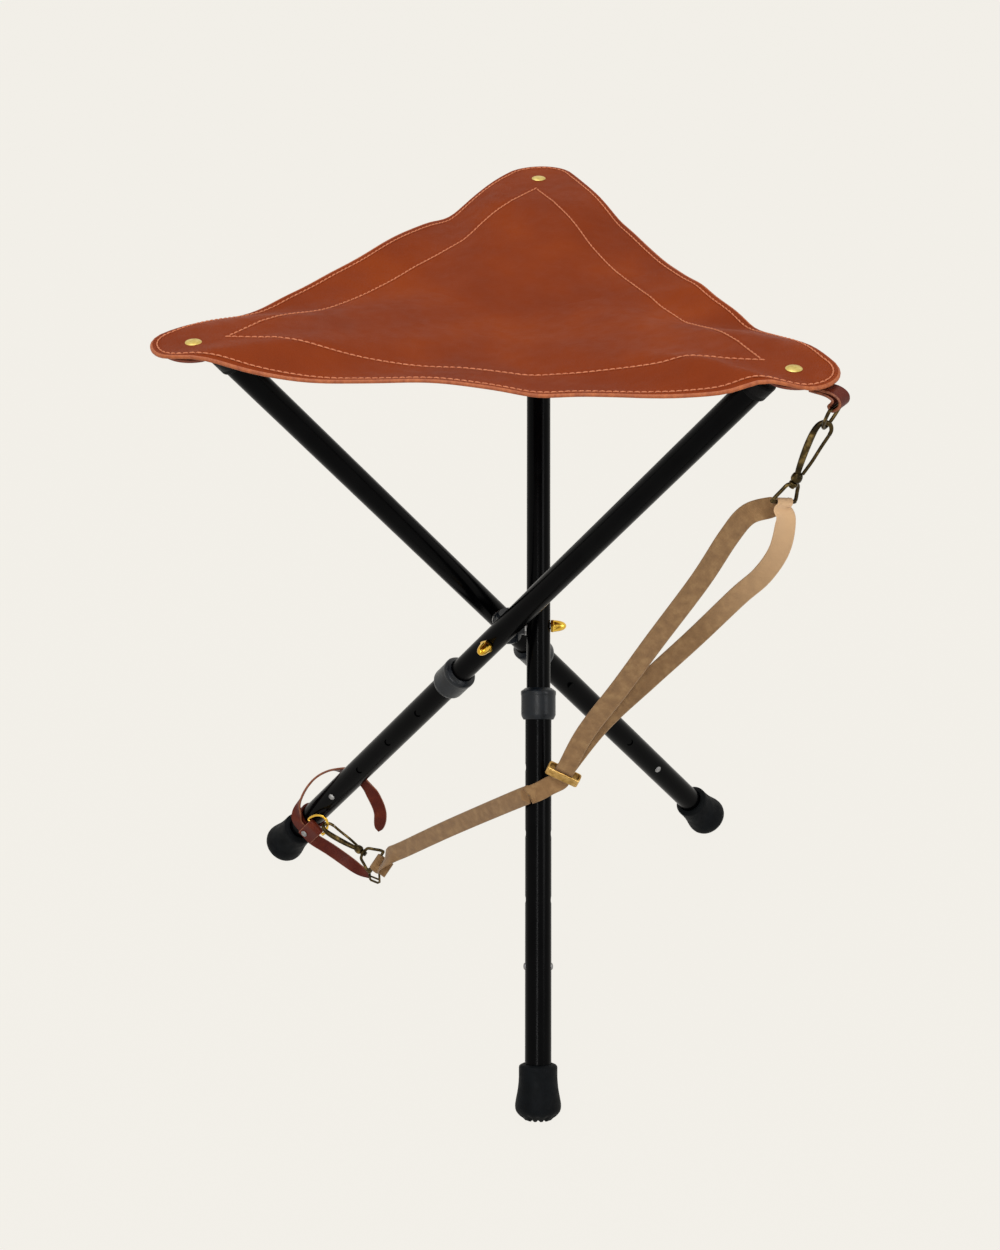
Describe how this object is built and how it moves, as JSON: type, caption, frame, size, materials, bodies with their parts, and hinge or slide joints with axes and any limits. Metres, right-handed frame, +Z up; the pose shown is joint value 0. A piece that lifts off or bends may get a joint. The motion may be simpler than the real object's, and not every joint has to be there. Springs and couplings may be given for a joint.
{
  "type": "folding tripod stool",
  "caption": "Folding tripod field stool with telescopic black legs, a three-cornered leather seat and a webbing carrying strap on snap hooks.",
  "frame": {"origin": "on the floor, at the middle of the opened stool's bounding box", "axes": "+Z up, +X to the right and +Y away from the viewer of the reference picture"},
  "size_m": [0.4902, 0.5319, 0.6382],
  "materials": {
    "black_paint": "gloss",
    "black_plastic": "satin",
    "black_rubber": "matt",
    "tan_leather": "satin",
    "brass": "polished",
    "antique_brass": "satin",
    "steel": "polished",
    "khaki_webbing": "matt"
  },
  "bodies": {
    "hub": {"hub_block": "black_plastic", "seat_leather": "tan_leather", "washer_front": "steel", "pivot_bolt_front": "steel", "acorn_nut_front": "brass", "washer_left": "steel", "pivot_bolt_left": "steel", "acorn_nut_left": "brass", "washer_right": "steel", "pivot_bolt_right": "steel", "acorn_nut_right": "brass"},
    "upper_front": {"upper_tube_front": "black_paint", "top_plug_front": "black_plastic", "corner_pocket_front": "tan_leather", "corner_rivet_front": "brass", "leaf_spring_front": "steel"},
    "lower_front": {"lower_tube_front": "black_paint", "collar_front": "black_plastic", "rubber_foot_front": "black_rubber"},
    "button_outer_front": {"button_outer_front": "steel"},
    "button_inner_front": {"button_inner_front": "steel"},
    "upper_left": {"upper_tube_left": "black_paint", "top_plug_left": "black_plastic", "corner_pocket_left": "tan_leather", "corner_rivet_left": "brass", "leaf_spring_left": "steel", "strap_loop": "tan_leather", "webbing": "khaki_webbing"},
    "lower_left": {"lower_tube_left": "black_paint", "collar_left": "black_plastic", "rubber_foot_left": "black_rubber", "belt_keeper": "tan_leather", "ankle_belt": "tan_leather", "ring_tab": "tan_leather", "belt_rivet": "steel"},
    "button_outer_left": {"button_outer_left": "steel"},
    "button_inner_left": {"button_inner_left": "steel"},
    "upper_right": {"upper_tube_right": "black_paint", "top_plug_right": "black_plastic", "corner_pocket_right": "tan_leather", "corner_rivet_right": "brass", "leaf_spring_right": "steel"},
    "lower_right": {"lower_tube_right": "black_paint", "collar_right": "black_plastic", "rubber_foot_right": "black_rubber"},
    "button_outer_right": {"button_outer_right": "steel"},
    "button_inner_right": {"button_inner_right": "steel"},
    "ring_upper": {"d_ring_upper": "antique_brass"},
    "hook_upper": {"hook_upper": "antique_brass"},
    "gate_upper": {"gate_upper": "steel"},
    "eye_upper": {"eye_upper": "antique_brass"},
    "ring_belt": {"d_ring_belt": "brass"},
    "hook_lower": {"hook_lower": "antique_brass"},
    "gate_lower": {"gate_lower": "steel"},
    "eye_lower": {"eye_lower": "antique_brass"},
    "slider": {"slider": "antique_brass"},
    "buckle": {"buckle_frame": "antique_brass"},
    "prong": {"buckle_prong": "antique_brass"}
  },
  "joints": [
    {"name": "fold_front", "type": "hinge", "parent": "hub", "child": "upper_front", "pos_m": [0.0344, -0.0085, 0.33219], "axis": [1, 0, 0], "range_deg": [0, 37.16], "deforming": ["seat_leather", "ankle_belt"]},
    {"name": "fold_left", "type": "hinge", "parent": "hub", "child": "upper_left", "pos_m": [-0.00325, -0.03024, 0.33219], "axis": [-0.5, -0.866, 0], "range_deg": [0, 37.16]},
    {"name": "fold_right", "type": "hinge", "parent": "hub", "child": "upper_right", "pos_m": [-0.00325, 0.01324, 0.33219], "axis": [-0.5, 0.866, 0], "range_deg": [0, 37.16]},
    {"name": "extend_front", "type": "slide", "parent": "upper_front", "child": "lower_front", "axis": [0, -0.604, -0.797], "range_m": [0, 0.165], "deforming": ["button_outer_front", "button_inner_front"]},
    {"name": "extend_left", "type": "slide", "parent": "upper_left", "child": "lower_left", "axis": [-0.5231, 0.302, -0.797], "range_m": [0, 0.165], "deforming": ["button_outer_left", "button_inner_left", "webbing"]},
    {"name": "extend_right", "type": "slide", "parent": "upper_right", "child": "lower_right", "axis": [0.5231, 0.302, -0.797], "range_m": [0, 0.165], "deforming": ["button_outer_right", "button_inner_right"]},
    {"name": "press_outer_front", "type": "slide", "parent": "upper_front", "child": "button_outer_front", "axis": [-1, 0, 0], "range_m": [0, 0.0025], "stiffness_N_per_m": 600, "deforming": ["leaf_spring_front"]},
    {"name": "press_inner_front", "type": "slide", "parent": "upper_front", "child": "button_inner_front", "axis": [1, 0, 0], "range_m": [0, 0.0025], "stiffness_N_per_m": 600},
    {"name": "press_outer_left", "type": "slide", "parent": "upper_left", "child": "button_outer_left", "axis": [0.5, 0.866, 0], "range_m": [0, 0.0025], "stiffness_N_per_m": 600, "deforming": ["leaf_spring_left"]},
    {"name": "press_inner_left", "type": "slide", "parent": "upper_left", "child": "button_inner_left", "axis": [-0.5, -0.866, 0], "range_m": [0, 0.0025], "stiffness_N_per_m": 600},
    {"name": "press_outer_right", "type": "slide", "parent": "upper_right", "child": "button_outer_right", "axis": [0.5, -0.866, 0], "range_m": [0, 0.0025], "stiffness_N_per_m": 600, "deforming": ["leaf_spring_right"]},
    {"name": "press_inner_right", "type": "slide", "parent": "upper_right", "child": "button_inner_right", "axis": [-0.5, 0.866, 0], "range_m": [0, 0.0025], "stiffness_N_per_m": 600},
    {"name": "ring_upper_swing", "type": "hinge", "parent": "upper_left", "child": "ring_upper", "pos_m": [0.23488, -0.17182, 0.61739], "axis": [0.5864, 0.81, 0], "range_deg": [-20, 20]},
    {"name": "hook_upper_swing", "type": "hinge", "parent": "ring_upper", "child": "hook_upper", "pos_m": [0.23017, -0.16841, 0.60141], "axis": [0, 1, 0], "range_deg": [-12, 12]},
    {"name": "gate_upper_open", "type": "hinge", "parent": "hook_upper", "child": "gate_upper", "pos_m": [0.2186, -0.16841, 0.56773], "axis": [0, -1, 0], "range_deg": [0, 14], "stiffness_Nm_per_rad": 0.05},
    {"name": "eye_upper_swivel", "type": "hinge", "parent": "hook_upper", "child": "eye_upper", "pos_m": [0.23017, -0.16841, 0.60141], "axis": [0.3827, 0, 0.9239], "continuous": true},
    {"name": "ring_belt_swing", "type": "hinge", "parent": "lower_left", "child": "ring_belt", "pos_m": [-0.17648, 0.05246, 0.06315], "axis": [0.6902, -0.3985, -0.604], "range_deg": [0, 90]},
    {"name": "hook_lower_swing", "type": "hinge", "parent": "ring_belt", "child": "hook_lower", "pos_m": [-0.16523, 0.04596, 0.07079], "axis": [-0.2979, 0.172, -0.939], "range_deg": [0, 15]},
    {"name": "gate_lower_open", "type": "hinge", "parent": "hook_lower", "child": "gate_lower", "pos_m": [-0.13523, 0.03118, 0.05856], "axis": [0.2979, -0.172, 0.939], "range_deg": [0, 14], "stiffness_Nm_per_rad": 0.05},
    {"name": "eye_lower_swivel", "type": "hinge", "parent": "hook_lower", "child": "eye_lower", "pos_m": [-0.16523, 0.04596, 0.07079], "axis": [-0.8132, 0.4695, 0.344], "continuous": true},
    {"name": "slider_slide", "type": "slide", "parent": "upper_left", "child": "slider", "axis": [0.2999, -0.23, 0.9258], "range_m": [0, 0.08]},
    {"name": "buckle_swing", "type": "hinge", "parent": "lower_left", "child": "buckle", "pos_m": [-0.12439, 0.0367, 0.02028], "axis": [-0.0044, 0.0025, -1], "range_deg": [-45, 45]},
    {"name": "prong_lift", "type": "hinge", "parent": "buckle", "child": "prong", "pos_m": [-0.12439, 0.0367, 0.02028], "axis": [-0.0044, 0.0025, -1], "range_deg": [0, 40]}
  ],
  "couplings": [
    {"joint": "fold_left", "follows": "fold_front", "ratio": 1},
    {"joint": "fold_right", "follows": "fold_front", "ratio": 1}
  ]
}
